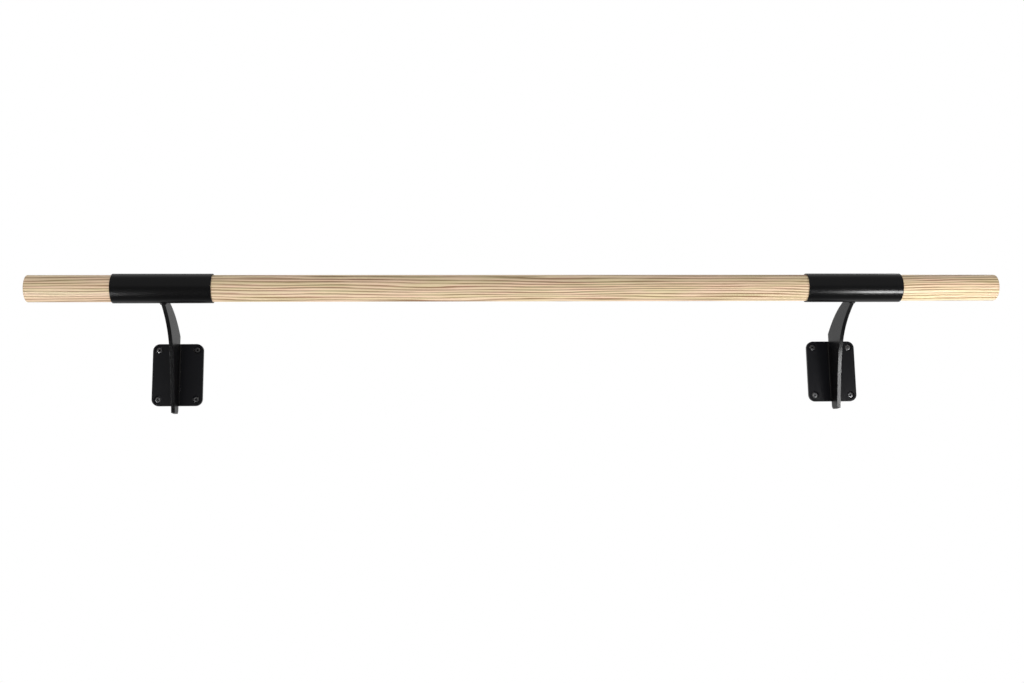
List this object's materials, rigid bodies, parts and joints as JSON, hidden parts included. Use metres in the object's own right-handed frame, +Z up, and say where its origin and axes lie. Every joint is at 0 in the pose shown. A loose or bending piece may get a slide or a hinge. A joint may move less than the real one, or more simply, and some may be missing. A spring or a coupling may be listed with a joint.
{
  "type": "pull up bar",
  "caption": "Round wooden pull-up bar held off a wall in steel tube sleeves, each welded to a curved flat arm on a screwed wall plate.",
  "frame": {"origin": "on the wall plane, midway between the two wall plates and level with their centres", "axes": "+X along the bar, to the right for a person facing the wall; +Y into the wall; +Z up"},
  "size_m": [1.5, 0.1667, 0.203],
  "materials": {
    "bar_wood": "smooth sanded pale wood under thin clear oil, fine straight grain along the bar",
    "bracket_coat": "satin black powder coat with fine texture",
    "screw_steel": "dull zinc-plated steel"
  },
  "bodies": {
    "root": {"wooden_bar": "bar_wood", "left_sleeve": "bracket_coat", "left_arm": "bracket_coat", "left_wall_plate": "bracket_coat", "left_sleeve_weld": "bracket_coat", "left_plate_weld_left": "bracket_coat", "left_plate_weld_right": "bracket_coat", "left_wall_screw_top_left": "screw_steel", "left_wall_screw_top_right": "screw_steel", "left_wall_screw_bottom_left": "screw_steel", "left_wall_screw_bottom_right": "screw_steel", "left_lock_screw": "screw_steel", "right_sleeve": "bracket_coat", "right_arm": "bracket_coat", "right_wall_plate": "bracket_coat", "right_sleeve_weld": "bracket_coat", "right_plate_weld_left": "bracket_coat", "right_plate_weld_right": "bracket_coat", "right_wall_screw_top_left": "screw_steel", "right_wall_screw_top_right": "screw_steel", "right_wall_screw_bottom_left": "screw_steel", "right_wall_screw_bottom_right": "screw_steel", "right_lock_screw": "screw_steel"}
  },
  "joints": []
}
